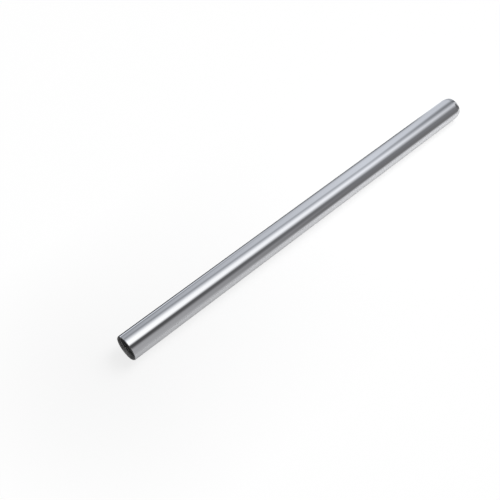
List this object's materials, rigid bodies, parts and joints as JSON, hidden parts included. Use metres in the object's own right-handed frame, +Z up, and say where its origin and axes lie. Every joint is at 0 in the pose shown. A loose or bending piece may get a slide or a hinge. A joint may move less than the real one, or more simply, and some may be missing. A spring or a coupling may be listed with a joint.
{
  "type": "motorcycle fork tube",
  "caption": "Straight hard-chromed steel tube for a telescopic motorcycle fork, threaded inside at its upper mouth and tapered outside at its lower end.",
  "frame": {"origin": "on the plane that the tube lies on, straight below the middle of its length and of its axis", "axes": "+X along the tube from the threaded mouth to the lower end, +Z up, the tube lying on its side"},
  "size_m": [0.642, 0.035, 0.035],
  "materials": {
    "chrome": "ground and polished"
  },
  "bodies": {
    "root": {"fork_tube": "chrome"}
  },
  "joints": []
}
